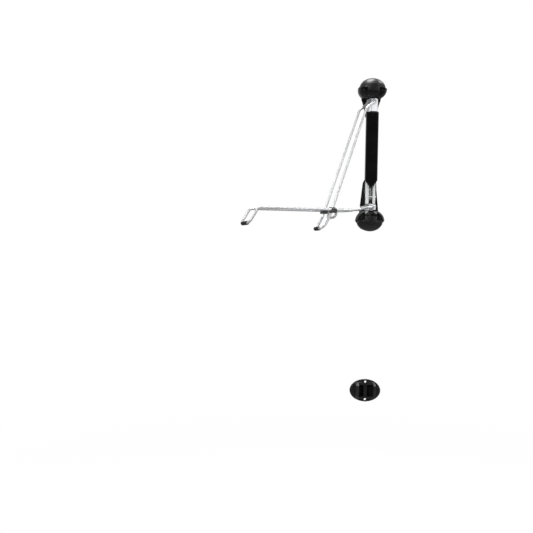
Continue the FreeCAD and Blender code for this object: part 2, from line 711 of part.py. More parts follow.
def tail_rib():
    """Middle rib that widens where it meets the frame."""
    reach = WELL_HALF_HEIGHT + 1
    side = [(RIB_END_HALF, -reach), (RIB_HALF, -reach + RIB_FLARE), (RIB_HALF, reach - RIB_FLARE), (RIB_END_HALF, reach)]
    outline = side + [(-x, z) for x, z in reversed(side)]
    corners = [V(x, RIB_Y, TAIL_REST_Z + z) for x, z in outline]
    return Part.Face(Part.makePolygon(corners + corners[:1])).extrude(V(0, WELL_FLOOR_Y - RIB_Y, 0))


def tail_rest():
    """Oval foot with a walled cradle that keeps the tyre between two fins."""
    flange = oval_bar(TAIL_WIDTH / 2, TAIL_HEIGHT / 2, 0, -TAIL_FLANGE, TAIL_REST_Z)
    rim = [e for e in flange.Edges if e.BoundBox.YMax < -TAIL_FLANGE + 0.1]
    flange = flange.makeFillet(TAIL_FLANGE_ROUND, rim)
    walls = tail_frame(FIN_OUTER, FRAME_HALF_HEIGHT, FRAME_CORNER, FRAME_DRAFT, WELL_FLOOR_Y, FIN_FRONT_Y)
    well = tail_frame(FIN_INNER, WELL_HALF_HEIGHT, WELL_CORNER, 0.01, WELL_FLOOR_Y, FIN_FRONT_Y - 1)
    trough = bar(
        V(0, TROUGH_FLOOR_Y - TROUGH_RADIUS, TAIL_REST_Z - FAR),
        V(0, TROUGH_FLOOR_Y - TROUGH_RADIUS, TAIL_REST_Z + FAR),
        TROUGH_RADIUS,
    )
    between = block(-FIN_INNER, FIN_INNER, -FAR, 0, TAIL_REST_Z - FAR, TAIL_REST_Z + FAR)
    walls = walls.cut(trough.common(between))
    for side in (-1, 1):
        top = TAIL_REST_Z + side * FRAME_HALF_HEIGHT
        slope = (
            (FIN_FRONT_Y, top - side * FIN_SHOULDER), (FIN_FRONT_Y + 2 * FIN_SHOULDER, top + side * FRAME_DRAFT),
            (FIN_FRONT_Y - 1, top + side * FRAME_DRAFT), (FIN_FRONT_Y - 1, top - side * FIN_SHOULDER),
        )
        walls = walls.cut(prism_x(slope, FAR))
    body = flange.fuse(walls).cut(well).fuse(tail_rib())
    for side in (-1, 1):
        z = TAIL_REST_Z + side * TAIL_HOLE_SPACING / 2
        body = body.fuse(bar_y(0, TAIL_BOSS_Y, 0, z, TAIL_BOSS_RADIUS))
        body = body.cut(bar_y(0, -FAR, TAIL_BOSS_Y, z, TAIL_BOSS_RADIUS))
        body = body.cut(bar_y(0, -FAR, 1, z, TAIL_HOLE_RADIUS))
    return body.removeSplitter()


def pair(shape):
    """The same piece at the top and the bottom of the rack."""
    return {"top": shape, "bottom": mirrored_z(shape)}


def build_nodes():
    nodes = {
        "back_housing": back_housing(),
        "spine_channel": spine_channel(),
        "front_cover": front_cover(),
        "spine_screws": spine_screws(),
        "channel_cross_bolt": channel_cross_bolt(),
        "shaft_guides": shaft_guides(),
        "tail_rest": tail_rest(),
        "pivot_shaft": pivot_shaft(),
        "thrust_washers": thrust_washers(),
        "hinge_washers": hinge_washers(),
        "hinge_nuts": hinge_nuts(),
        "top_bracket": swung(hinge_bracket(TOP_BRACKET_FOOT, BRACKET_END, TOP_PIN_Z)),
        "bottom_bracket": swung(hinge_bracket(-BRACKET_END, BOTTOM_BRACKET_HEAD, BOTTOM_PIN_Z)),
        "top_hinge_bolt": swung(hinge_bolt(TOP_PIN_Z)),
        "bottom_hinge_bolt": swung(hinge_bolt(BOTTOM_PIN_Z)),
        "upper_arm": swung(upper_arm()),
        "lower_arm": swung(lower_arm()),
        "upper_sleeve": swung(sleeve(UPPER_ARM[-1], UPPER_SLEEVE_HALF, TOP_PIN_Z)),
        "lower_sleeve": swung(sleeve(LOWER_ARM[-1], LOWER_SLEEVE_HALF, BOTTOM_PIN_Z)),
        "link_hook_near": swung(link_hook()),
        "link_hook_far": swung(mirrored_x(link_hook())),
    }
    base = cap_base().cut(back_housing())
    caps = {
        "cap_base": base,
        "cap_dome": cap_dome(),
        "cap_plug": cap_plug(),
        "wall_bracket": wall_bracket(),
        "bush": bush(),
        "spindle": spindle(),
    }
    for name, shape in caps.items():
        for end, placed in pair(shape).items():
            nodes[end + "_" + name] = placed
    screws = pair(cap_screws())
    nodes["cap_screws"] = Part.makeCompound(screws["top"].Solids + screws["bottom"].Solids)
    return nodes


def main():
    os.makedirs("parts", exist_ok=True)
    for name, shape in build_nodes().items():
        solids = shape.Solids
        if not solids or not shape.isValid():
            print("problem:", name, len(solids), shape.isValid())
        shape.exportStep("parts/" + name + ".step")
        box = shape.BoundBox
        print(f"{name}: {len(solids)} solid(s), {shape.Volume / 1000:.1f} cm3, "
              f"x {box.XMin:.0f}..{box.XMax:.0f} y {box.YMin:.0f}..{box.YMax:.0f} z {box.ZMin:.0f}..{box.ZMax:.0f}")


main()
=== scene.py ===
import json
import math
import bmesh
import bpy
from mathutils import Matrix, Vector


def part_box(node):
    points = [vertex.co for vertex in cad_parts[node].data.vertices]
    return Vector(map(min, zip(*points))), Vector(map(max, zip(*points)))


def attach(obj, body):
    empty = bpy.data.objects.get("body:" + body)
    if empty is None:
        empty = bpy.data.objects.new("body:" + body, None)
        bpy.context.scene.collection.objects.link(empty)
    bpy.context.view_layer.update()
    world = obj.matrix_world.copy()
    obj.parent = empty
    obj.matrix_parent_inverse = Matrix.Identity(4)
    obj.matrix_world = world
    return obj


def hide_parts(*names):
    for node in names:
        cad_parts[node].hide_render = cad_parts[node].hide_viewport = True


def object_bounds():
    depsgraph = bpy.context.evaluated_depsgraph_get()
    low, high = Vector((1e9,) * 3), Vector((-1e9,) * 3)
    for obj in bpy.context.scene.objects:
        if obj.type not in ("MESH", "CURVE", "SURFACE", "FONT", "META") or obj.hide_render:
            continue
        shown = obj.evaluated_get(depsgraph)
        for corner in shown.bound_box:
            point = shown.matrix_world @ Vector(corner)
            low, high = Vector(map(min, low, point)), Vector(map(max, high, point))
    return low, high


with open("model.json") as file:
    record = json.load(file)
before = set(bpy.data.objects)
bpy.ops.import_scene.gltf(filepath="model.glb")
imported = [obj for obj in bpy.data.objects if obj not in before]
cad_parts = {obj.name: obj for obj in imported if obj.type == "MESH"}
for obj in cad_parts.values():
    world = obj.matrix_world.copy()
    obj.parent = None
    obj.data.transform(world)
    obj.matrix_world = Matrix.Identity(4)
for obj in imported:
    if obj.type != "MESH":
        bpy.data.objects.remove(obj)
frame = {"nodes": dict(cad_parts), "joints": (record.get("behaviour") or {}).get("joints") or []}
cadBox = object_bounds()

scene = bpy.context.scene
mm = 0.001
weldGap = 1e-6

# The swivel axis and the arms' own directions come from the joints.
joints = {joint["name"]: joint for joint in frame["joints"]}
swivelPivot = Vector(joints["swivel_turn"]["pos_m"])
lowerHinge = Vector(joints["lower_arm_fold"]["pos_m"])
upperHinge = Vector(joints["upper_arm_fold"]["pos_m"])
up = Vector((0, 0, 1))
sideways = -Vector(joints["lower_arm_fold"]["axis"]).normalized()  # along the hinge bolts, to the near side
outward = sideways.cross(up)
print("frame loaded:", len(frame["nodes"]), "nodes")


# Small helpers for node trees

def addNode(tree, kind, settings=None, values=None):
    node = tree.nodes.new(kind)
    for key, value in (settings or {}).items():
        setattr(node, key, value)
    for key, value in (values or {}).items():
        feed(tree, value, node.inputs[key])
    return node


def feed(tree, value, socket):
    if isinstance(value, bpy.types.NodeSocket):
        tree.links.new(value, socket)
    else:
        socket.default_value = value


def maths(tree, operation, first, second=0.0, clamp=False):
    return addNode(
        tree, "ShaderNodeMath", {"operation": operation, "use_clamp": clamp}, {0: first, 1: second},
    ).outputs[0]


def vectorMaths(tree, operation, first, second=None, scale=None):
    values = {0: first}
    if second is not None:
        values[1] = second
    if scale is not None:
        values["Scale"] = scale
    node = addNode(tree, "ShaderNodeVectorMath", {"operation": operation}, values)
    return node.outputs["Value" if operation in ("DOT_PRODUCT", "LENGTH") else "Vector"]


def ramp(tree, value, low, high, toLow=0.0, toHigh=1.0):
    values = {"Value": value, "From Min": low, "From Max": high, "To Min": toLow, "To Max": toHigh}
    return addNode(tree, "ShaderNodeMapRange", {"interpolation_type": "SMOOTHSTEP"}, values).outputs["Result"]


def mixColour(tree, factor, first, second):
    return addNode(tree, "ShaderNodeMix", {"data_type": "RGBA"}, {0: factor, 6: first, 7: second}).outputs[2]


def noise(tree, vector, scale, detail=3.0, roughness=0.5):
    values = {"Vector": vector, "Scale": scale, "Detail": detail, "Roughness": roughness}
    return addNode(tree, "ShaderNodeTexNoise", None, values).outputs["Fac"]


def newTree(name, kind, inputs, outputs):
    tree = bpy.data.node_groups.new(name, kind)
    for label, socket, value in inputs:
        made = tree.interface.new_socket(label, in_out="INPUT", socket_type="NodeSocket" + socket)
        if value is not None:
            made.default_value = value
    for label, socket in outputs:
        tree.interface.new_socket(label, in_out="OUTPUT", socket_type="NodeSocket" + socket)
    return tree, tree.nodes.new("NodeGroupInput").outputs, tree.nodes.new("NodeGroupOutput").inputs


# Shader groups that several finishes share

def colourDriftGroup():
    inputs = [
        ("Vector", "Vector", None), ("Base", "Color", None), ("Other", "Color", None),
        ("Scale", "Float", 12.0),
    ]
    tree, given, result = newTree("colourDrift", "ShaderNodeTree", inputs, [("Color", "Color")])
    wide = noise(tree, given["Vector"], given["Scale"], 4.0, 0.55)
    feed(tree, mixColour(tree, ramp(tree, wide, 0.35, 0.65), given["Base"], given["Other"]), result["Color"])
    return tree


def mouldGrainGroup():
    # Spark-eroded mould skin: soft pebbles over a finer noise
    inputs = [
        ("Vector", "Vector", None), ("Scale", "Float", 900.0), ("Rough", "Float", 0.4),
        ("Spread", "Float", 0.1),
    ]
    tree, given, result = newTree(
        "mouldGrain", "ShaderNodeTree", inputs, [("Height", "Float"), ("Roughness", "Float")],
    )
    pebble = addNode(
        tree, "ShaderNodeTexVoronoi", {"feature": "SMOOTH_F1"},
        {"Vector": given["Vector"], "Scale": given["Scale"], "Smoothness": 0.6},
    ).outputs["Distance"]
    fine = noise(tree, given["Vector"], maths(tree, "MULTIPLY", given["Scale"], 2.4), 2.0, 0.6)
    feed(tree, maths(tree, "MULTIPLY_ADD", fine, 0.5), result["Height"])
    height = result["Height"].links[0].from_node
    feed(tree, maths(tree, "SUBTRACT", 1.0, pebble), height.inputs[2])
    cloud = noise(tree, given["Vector"], 60.0, 4.0, 0.6)
    shift = maths(tree, "MULTIPLY", maths(tree, "SUBTRACT", cloud, 0.5), given["Spread"])
    feed(tree, maths(tree, "ADD", given["Rough"], shift, True), result["Roughness"])
    return tree


def drawnLinesGroup():
    # Streaks left by rolling, drawing or turning; Stretch squeezes the noise across the streaks
    inputs = [
        ("Vector", "Vector", None), ("Stretch", "Vector", (1, 1, 1)), ("Rough", "Float", 0.25),
        ("Spread", "Float", 0.1),
    ]
    tree, given, result = newTree(
        "drawnLines", "ShaderNodeTree", inputs, [("Height", "Float"), ("Roughness", "Float")],
    )
    stretched = vectorMaths(tree, "MULTIPLY", given["Vector"], given["Stretch"])
    streak = noise(tree, stretched, 1.0, 5.0, 0.65)
    cloud = noise(tree, given["Vector"], 45.0, 3.0, 0.55)
    both = maths(tree, "ADD", maths(tree, "MULTIPLY", streak, 0.6), maths(tree, "MULTIPLY", cloud, 0.4))
    shift = maths(tree, "MULTIPLY", maths(tree, "SUBTRACT", both, 0.5), given["Spread"])
    feed(tree, streak, result["Height"])
    feed(tree, maths(tree, "ADD", given["Rough"], shift, True), result["Roughness"])
    return tree


def edgeWearGroup():
    inputs = [
        ("Vector", "Vector", None), ("Color", "Color", None), ("Worn", "Color", None),
        ("Amount", "Float", 0.5),
    ]
    tree, given, result = newTree(
        "edgeWear", "ShaderNodeTree", inputs, [("Color", "Color"), ("Mask", "Float")],
    )
    point = addNode(tree, "ShaderNodeNewGeometry").outputs["Pointiness"]
    broken = ramp(tree, noise(tree, given["Vector"], 260.0, 4.0, 0.7), 0.42, 0.62)
    mask = maths(
        tree, "MULTIPLY", maths(tree, "MULTIPLY", ramp(tree, point, 0.53, 0.62), broken), given["Amount"],
        True,
    )
    feed(tree, mixColour(tree, mask, given["Color"], given["Worn"]), result["Color"])
    feed(tree, mask, result["Mask"])
    return tree


def dustFilmGroup():
    inputs = [
        ("Vector", "Vector", None), ("Color", "Color", None), ("Dust", "Color", (0.3, 0.29, 0.28, 1)),
        ("Amount", "Float", 0.1),
    ]
    tree, given, result = newTree(
        "dustFilm", "ShaderNodeTree", inputs, [("Color", "Color"), ("Mask", "Float")],
    )
    facing = addNode(tree, "ShaderNodeTexCoord").outputs["Normal"]
    rise = addNode(tree, "ShaderNodeSeparateXYZ", None, {0: facing}).outputs["Z"]
    patchy = ramp(tree, noise(tree, given["Vector"], 90.0, 6.0, 0.7), 0.3, 0.75)
    mask = maths(
        tree, "MULTIPLY", maths(tree, "MULTIPLY", ramp(tree, rise, 0.2, 1.0), patchy), given["Amount"], True,
    )
    feed(tree, mixColour(tree, mask, given["Color"], given["Dust"]), result["Color"])
    feed(tree, mask, result["Mask"])
    return tree


shaderGroups = {
    "drift": colourDriftGroup(),
    "grain": mouldGrainGroup(),
    "lines": drawnLinesGroup(),
    "wear": edgeWearGroup(),
    "dust": dustFilmGroup(),
}

# Finishes: one for each slot of the record, and some that a single piece takes in its slot's place.
# Depths are metres and scales are per metre. A zone of painted shade is in millimetres.
finishes = {
    "cover_black": {
        "base": (0.0035, 0.0035, 0.0038), "other": (0.006, 0.0056, 0.0054), "texture": "grain",
        "scale": 420.0, "rough": 0.13, "spread": 0.05,
        "bump": 0.05, "depth": 0.00004, "specular": 0.5,
        "worn": (0.03, 0.03, 0.03), "wear": 0.5, "dust": 0.03,
    },
    "housing_black": {
        "base": (0.005, 0.005, 0.0052), "other": (0.009, 0.0085, 0.0082), "texture": "grain", "scale": 700.0,
        "rough": 0.24, "spread": 0.1, "bump": 0.12, "depth": 0.00006, "specular": 0.5,
        "worn": (0.04, 0.04, 0.04), "wear": 0.5, "dust": 0.05,
    },
    "cap_black": {
        "base": (0.0095, 0.0095, 0.0105), "other": (0.015, 0.0145, 0.0155), "texture": "grain",
        "scale": 1100.0, "rough": 0.35, "spread": 0.06,
        "bump": 0.05, "depth": 0.00006, "specular": 0.5,
        "worn": (0.06, 0.06, 0.06), "wear": 0.6, "dust": 0.06,
        # Painted shade: the neck under each button is darkened as if it lay in shadow
        "paintedShade": {
            "centre": (0, -70, 236), "half": (24, 26, 21), "soft": 1.5, "shade": (0.0015, 0.0015, 0.0015),
            "rougher": -0.08,
        },
    },
    "tail_black": {
        "base": (0.013, 0.013, 0.014), "other": (0.021, 0.0205, 0.0215), "texture": "grain", "scale": 950.0,
        "rough": 0.33, "spread": 0.14, "bump": 0.3, "depth": 0.0001, "specular": 0.5,
        "worn": (0.07, 0.07, 0.07), "wear": 0.3, "dust": 0.08,
        # Painted shade: the wells beside the rib are darkened and roughened as a shaded recess
        "paintedShade": {
            "centre": (0, -6, 978), "half": (30, 6, 25), "soft": 1.5, "shade": (0.0015, 0.0015, 0.0015),
            "rougher": 0.5,
        },
    },
    "button_black": {
        "base": (0.005, 0.005, 0.0055), "other": (0.008, 0.008, 0.0085), "texture": "grain", "scale": 1500.0,
        "rough": 0.46, "spread": 0.1, "bump": 0.2, "depth": 0.00006, "specular": 0.5,
        "worn": (0.05, 0.05, 0.05), "wear": 0.5, "dust": 0.04,
    },
    "screw_black": {
        "base": (0.012, 0.012, 0.013), "other": (0.02, 0.02, 0.021), "texture": "grain", "scale": 2200.0,
        "rough": 0.36, "spread": 0.12, "bump": 0.2, "depth": 0.00004, "specular": 0.5,
        "worn": (0.3, 0.3, 0.3), "wear": 0.6, "dust": 0.04,
    },
    "nylon_black": {
        "base": (0.011, 0.011, 0.011), "other": (0.017, 0.017, 0.017), "texture": "grain", "scale": 1300.0,
        "rough": 0.42, "spread": 0.14, "bump": 0.3, "depth": 0.00008, "specular": 0.45,
        "worn": (0.07, 0.07, 0.07), "wear": 0.7, "dust": 0.06,
    },
    "rubber_black": {
        "base": (0.014, 0.014, 0.014), "other": (0.022, 0.021, 0.02), "texture": "grain", "scale": 1600.0,
        "rough": 0.6, "spread": 0.16, "bump": 0.4, "depth": 0.0001, "specular": 0.35,
        "worn": (0.09, 0.085, 0.08), "wear": 0.5, "dust": 0.12,
    },
    "channel_zinc": {
        "base": (0.92, 0.93, 0.94), "other": (0.96, 0.96, 0.96), "texture": "lines",
        "stretch": (900.0, 900.0, 12.0), "rough": 0.36, "spread": 0.12,
        "bump": 0.04, "depth": 0.00004, "metal": 0.15,
        "worn": (0.95, 0.95, 0.95), "wear": 0.6, "dust": 0.0,
    },
    "zinc_sheet": {
        "base": (0.62, 0.63, 0.65), "other": (0.72, 0.72, 0.73), "texture": "lines",
        "stretch": (900.0, 900.0, 25.0), "rough": 0.34, "spread": 0.14,
        "bump": 0.06, "depth": 0.00004, "metal": 0.5,
        "worn": (0.85, 0.85, 0.85), "wear": 0.8, "dust": 0.0,
    },
    "zinc_rod": {
        "base": (0.78, 0.79, 0.81), "other": (0.85, 0.85, 0.86), "texture": "lines",
        "stretch": (380.0, 380.0, 160.0), "rough": 0.27, "spread": 0.1,
        "bump": 0.04, "depth": 0.00004, "metal": 0.6,
        "worn": (0.9, 0.9, 0.9), "wear": 0.5, "dust": 0.0,
    },
    "bright_steel": {
        "base": (0.55, 0.55, 0.56), "other": (0.66, 0.66, 0.66), "texture": "lines",
        "stretch": (40.0, 40.0, 1800.0), "rough": 0.22, "spread": 0.16,
        "bump": 0.15, "depth": 0.00004, "metal": 1.0,
        "worn": (0.8, 0.8, 0.8), "wear": 0.6, "dust": 0.0,
    },
    "bolt_steel": {
        "base": (0.4, 0.41, 0.43), "other": (0.52, 0.53, 0.54), "texture": "lines",
        "stretch": (700.0, 700.0, 700.0), "rough": 0.3, "spread": 0.2,
        "bump": 0.2, "depth": 0.00005, "metal": 1.0,
        "worn": (0.75, 0.75, 0.75), "wear": 0.9, "dust": 0.0,
    },
}


def placeGroup(tree, group, values):
    return addNode(tree, "ShaderNodeGroup", {"node_tree": shaderGroups[group]}, values).outputs


def paintedShadeMask(tree, where, zone):
    # Painted shade: 1 inside a box and 0 outside it, the same above and below zero, so that one zone does for
    # both caps
    x, y, z = addNode(tree, "ShaderNodeSeparateXYZ", None, {0: where}).outputs
    mask = 1.0
    for place, middle, half in zip((x, y, maths(tree, "ABSOLUTE", z)), zone["centre"], zone["half"]):
        offset = maths(tree, "ABSOLUTE", maths(tree, "SUBTRACT", place, middle * mm))
        mask = maths(
            tree, "MULTIPLY", mask, ramp(tree, offset, half * mm, (half + zone["soft"]) * mm, 1.0, 0.0),
        )
    return mask


def makeFinish(name, look):
    material = bpy.data.materials.new(name)
    material.use_nodes = True
    tree = material.node_tree
    shader = tree.nodes["Principled BSDF"].inputs
    where = addNode(tree, "ShaderNodeTexCoord").outputs["Object"]
    tone = placeGroup(
        tree, "drift",
        {"Vector": where, "Base": (*look["base"], 1), "Other": (*look["other"], 1), "Scale": 25.0},
    )
    values = {"Vector": where, "Rough": look["rough"], "Spread": look["spread"]}
    if look["texture"] == "grain":
        values["Scale"] = look["scale"]
    else:
        values["Stretch"] = look["stretch"]
    surface = placeGroup(tree, look["texture"], values)
    wear = placeGroup(
        tree, "wear",
        {"Vector": where, "Color": tone["Color"], "Worn": (*look["worn"], 1), "Amount": look["wear"]},
    )
    colour = wear["Color"]
    roughness = surface["Roughness"]
    if look["dust"]:
        dust = placeGroup(tree, "dust", {"Vector": where, "Color": colour, "Amount": look["dust"]})
        colour = dust["Color"]
        roughness = maths(tree, "ADD", roughness, maths(tree, "MULTIPLY", dust["Mask"], 0.6), True)
    # Painted shade: inside the zone the colour turns near black, as if the place lay in shadow, and its
    # roughness shifts
    if "paintedShade" in look:
        paintedShade = paintedShadeMask(tree, where, look["paintedShade"])
        colour = mixColour(tree, paintedShade, colour, (*look["paintedShade"]["shade"], 1))
        roughness = maths(
            tree, "ADD", roughness, maths(tree, "MULTIPLY", paintedShade, look["paintedShade"]["rougher"]), True,
        )
    feed(tree, colour, shader["Base Color"])
    feed(tree, roughness, shader["Roughness"])
    shader["Metallic"].default_value = look.get("metal", 0.0)
    if not look.get("metal"):
        shader["Specular IOR Level"].default_value = look["specular"]
    bump = addNode(
        tree, "ShaderNodeBump", None,
        {"Strength": look["bump"], "Distance": look["depth"], "Height": surface["Height"]},
    )
    feed(tree, bump.outputs["Normal"], shader["Normal"])
    return material


materials = {name: makeFinish(name.replace("_", "-"), look) for name, look in finishes.items()}
print("finishes made:", len(materials))


# Mesh helpers, with angles in radians and lengths in metres
easing = {"smoothAngle": math.radians(38), "sharpAngle": math.radians(30), "flatAngle": math.radians(0.8)}


def shadeSmooth(mesh):
    for polygon in mesh.polygons:
        polygon.use_smooth = True
    mesh.set_sharp_from_angle(angle=easing["smoothAngle"])


def addPiece(name, mesh, slot, body, nodes, finish=None):
    piece = bpy.data.objects.new(name, mesh)
    scene.collection.objects.link(piece)
    shadeSmooth(mesh)
    mesh.materials.clear()
    mesh.materials.append(materials[finish or slot])
    evenNormals = piece.modifiers.new("evenNormals", "WEIGHTED_NORMAL")
    evenNormals.keep_sharp = True
    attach(piece, body)
    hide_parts(*nodes)


def toMesh(bm, name):
    bmesh.ops.recalc_face_normals(bm, faces=bm.faces)
    mesh = bpy.data.meshes.new(name)
    bm.to_mesh(mesh)
    bm.free()
    return mesh


def roundEdges(bm, edges, width, segments=2):
    bmesh.ops.bevel(
        bm, geom=edges, offset=width * mm, offset_type="OFFSET", segments=segments, profile=0.5,
        affect="EDGES", clamp_overlap=True,
    )


def sharpEdges(bm):
    return [edge for edge in bm.edges if edge.calc_face_angle(0) > easing["sharpAngle"]]


def softCopy(node, width):
    # A merged copy of a node with its sharp edges eased, as a press or a mould leaves them
    bm = bmesh.new()
    bm.from_mesh(frame["nodes"][node].data)
    bmesh.ops.remove_doubles(bm, verts=bm.verts, dist=weldGap)
    bmesh.ops.dissolve_limit(bm, angle_limit=easing["flatAngle"], verts=bm.verts, edges=bm.edges)
    if width:
        roundEdges(bm, sharpEdges(bm), width)
    return toMesh(bm, node)


def lathe(bm, profile, centre, axis, steps=48):
    # profile holds (distance along the axis, radius) in millimetres, as a closed loop
    axis = axis.normalized()
    first = axis.orthogonal().normalized()
    second = axis.cross(first)
    rings = []
    for i in range(steps):
        angle = 2 * math.pi * i / steps
        spoke = first * math.cos(angle) + second * math.sin(angle)
        rings.append([bm.verts.new(centre + (axis * d + spoke * r) * mm) for d, r in profile])
    for ring, following in zip(rings, rings[1:] + rings[:1]):
        for j in range(len(profile)):
            k = (j + 1) % len(profile)
            bm.faces.new((ring[j], following[j], following[k], ring[k]))


def roundedBar(length, outer, inner, edge, arcSteps=4):
    # Closed profile of a tube centred on its middle, with rounded outer edges
    half = length / 2
    points = [(-half, inner)]
    for side in (-1, 1):
        for i in range(arcSteps + 1):
            angle = math.pi / 2 * (i / arcSteps if side < 0 else 1 - i / arcSteps)
            along = side * (half - edge + edge * math.cos(angle))
            points.append((along, outer - edge + edge * math.sin(angle)))
    points.append((half, inner))
    return points


def evaluateNodes(piece, tree, values):
    modifier = piece.modifiers.new("shape", "NODES")
    modifier.node_group = tree
    for item in tree.interface.items_tree:
        if item.in_out == "INPUT" and item.name in values:
            modifier[item.identifier] = values[item.name]
    graph = bpy.context.evaluated_depsgraph_get()
    mesh = bpy.data.meshes.new_from_object(piece.evaluated_get(graph), depsgraph=graph)
    piece.modifiers.remove(modifier)
    return mesh


def helperObject(name, mesh):
    helper = bpy.data.objects.new(name, mesh)
    scene.collection.objects.link(helper)
    return helper


def carve(mesh, cutter):
    # The mesh with the cutter's volume taken out
    target, tool = helperObject("target", mesh), helperObject("tool", cutter)
    modifier = target.modifiers.new("carve", "BOOLEAN")
    modifier.operation = "DIFFERENCE"
    modifier.solver = "EXACT"
    modifier.object = tool
    graph = bpy.context.evaluated_depsgraph_get()
    carved = bpy.data.meshes.new_from_object(target.evaluated_get(graph), depsgraph=graph)
    bpy.data.objects.remove(target)
    bpy.data.objects.remove(tool)
    return carved


# Bent rods: an arm's route with tangent bends, and forged eyes at its two ends

def bentRodTree():
    inputs = [
        ("Geometry", "Geometry", None), ("Rod Radius", "Float", 0.005), ("Sides", "Int", 28),
        ("Bend Steps", "Int", 16), ("Step", "Float", 0.003), ("Trim", "Float", 0.006),
        ("Eye Axis", "Vector", (1, 0, 0)),
        ("Neck Length", "Float", 0.02), ("Neck Swell", "Float", 0.5), ("Eye", "Object", None),
        ("Material", "Material", None),
    ]
    tree, given, result = newTree("bentRod", "GeometryNodeTree", inputs, [("Geometry", "Geometry")])
    line = addNode(tree, "GeometryNodeMeshToCurve", None, {"Mesh": given["Geometry"]}).outputs["Curve"]
    bend = addNode(
        tree, "GeometryNodeInputNamedAttribute", {"data_type": "FLOAT"}, {"Name": "bend"},
    ).outputs["Attribute"]
    route = addNode(
        tree, "GeometryNodeFilletCurve", {"mode": "POLY"},
        {"Curve": line, "Count": given["Bend Steps"], "Radius": bend},
    ).outputs["Curve"]
    whole = addNode(tree, "GeometryNodeCurveLength", None, {"Curve": route}).outputs["Length"]
    trimmed = addNode(tree, "GeometryNodeTrimCurve", {"mode": "LENGTH"}, {"Curve": route})
    feed(tree, given["Trim"], trimmed.inputs[4])
    feed(tree, maths(tree, "SUBTRACT", whole, given["Trim"]), trimmed.inputs[5])
    even = addNode(
        tree, "GeometryNodeResampleCurve", {"mode": "LENGTH"},
        {"Curve": trimmed.outputs["Curve"], "Length": given["Step"]},
    ).outputs["Curve"]
    capture = addNode(tree, "GeometryNodeCaptureAttribute", {"domain": "POINT"})
    for kind, label in (("VECTOR", "centre"), ("VECTOR", "heading"), ("FLOAT", "fromEnd")):
        capture.capture_items.new(kind, label)
    along = addNode(tree, "GeometryNodeSplineParameter").outputs["Length"]
    total = addNode(tree, "GeometryNodeSplineLength").outputs["Length"]
    feed(tree, even, capture.inputs["Geometry"])
    feed(tree, addNode(tree, "GeometryNodeInputPosition").outputs[0], capture.inputs["centre"])
    feed(tree, addNode(tree, "GeometryNodeInputTangent").outputs[0], capture.inputs["heading"])
    left = maths(tree, "SUBTRACT", total, along)
    feed(tree, maths(tree, "MINIMUM", along, left), capture.inputs["fromEnd"])
    section = addNode(
        tree, "GeometryNodeCurvePrimitiveCircle", {"mode": "RADIUS"},
        {"Resolution": given["Sides"], "Radius": given["Rod Radius"]},
    ).outputs["Curve"]
    tube = addNode(
        tree, "GeometryNodeCurveToMesh", None,
        {"Curve": capture.outputs["Geometry"], "Profile Curve": section, "Fill Caps": True},
    ).outputs["Mesh"]
    # Near its ends the rod widens in the plane of the eye, as a forged end does.
    across = vectorMaths(
        tree, "NORMALIZE", vectorMaths(tree, "CROSS_PRODUCT", capture.outputs["heading"], given["Eye Axis"]),
    )
    position = addNode(tree, "GeometryNodeInputPosition").outputs[0]
    reach = vectorMaths(
        tree, "DOT_PRODUCT", vectorMaths(tree, "SUBTRACT", position, capture.outputs["centre"]), across,
    )
    swell = addNode(
        tree, "ShaderNodeMapRange", {"interpolation_type": "SMOOTHSTEP"},
        {
            "Value": capture.outputs["fromEnd"], "From Max": given["Neck Length"],
            "To Min": given["Neck Swell"], "To Max": 0.0,
        },
    ).outputs["Result"]
    shaped = addNode(
        tree, "GeometryNodeSetPosition", None,
        {
            "Geometry": tube,
            "Offset": vectorMaths(tree, "SCALE", across, scale=maths(tree, "MULTIPLY", reach, swell)),
        },
    ).outputs["Geometry"]
    eye = addNode(
        tree, "GeometryNodeObjectInfo", {"transform_space": "ORIGINAL"}, {"Object": given["Eye"]},
    ).outputs["Geometry"]
    ends = addNode(tree, "GeometryNodeCurveEndpointSelection").outputs["Selection"]
    eyes = addNode(
        tree, "GeometryNodeInstanceOnPoints", None, {"Points": route, "Selection": ends, "Instance": eye},
    ).outputs["Instances"]
    joined = addNode(tree, "GeometryNodeJoinGeometry")
    for part in (shaped, eyes):
        tree.links.new(part, joined.inputs["Geometry"])
    real = addNode(
        tree, "GeometryNodeRealizeInstances", None, {"Geometry": joined.outputs["Geometry"]},
    ).outputs["Geometry"]
    painted = addNode(
        tree, "GeometryNodeSetMaterial", None, {"Geometry": real, "Material": given["Material"]},
    ).outputs["Geometry"]
    feed(tree, painted, result["Geometry"])
    return tree


def hairpinLine(hinge, route, bends):
    # The near side, then the same points mirrored for the far side
    near = [hinge + (outward * out + up * rise + sideways * side) * mm for out, rise, side in route]
    far = [hinge + (outward * out + up * rise - sideways * side) * mm for out, rise, side in reversed(route)]
    radii = [0.0, *bends, *reversed(bends), 0.0]
    mesh = bpy.data.meshes.new("route")
    points = near + far
    mesh.from_pydata(points, [(i, i + 1) for i in range(len(points) - 1)], [])
    attribute = mesh.attributes.new("bend", "FLOAT", "POINT")
    for item, radius in zip(attribute.data, radii):
        item.value = radius * mm
    return helperObject("route", mesh)


armRod = {"radius": 5.0, "eyeRadius": 9.0, "bore": 4.05, "eyeEdge": 1.2, "eyeTrim": 6.0, "stayTrim": 1.5,
          "neckLength": 22.0, "neckSwell": 0.55}
upperArm = {
    "route": [(0, 0, 29), (43, -34, 29), (200, -481, 33), (220, -517, 33), (240, -533, 33)],
    "bends": [22, 60, 20, 13],
    "stay": [(191, -19, 33), (164, -19, 33), (180, -51, 33)],
    "stayBends": [8, 12],
}
lowerArm = {
    "route": [(0, 0, 29), (30, -3, 29), (67, -15, 37), (100, -19, 45), (513, -28, 45), (551, -88, 45)],
    "bends": [20, 40, 60, 16, 16],
}


def forgedEye():
    bm = bmesh.new()
    profile = roundedBar(2 * armRod["radius"], armRod["eyeRadius"], armRod["bore"], armRod["eyeEdge"])
    lathe(bm, profile, Vector((0, 0, 0)), sideways)
    return helperObject("eye", toMesh(bm, "eye"))


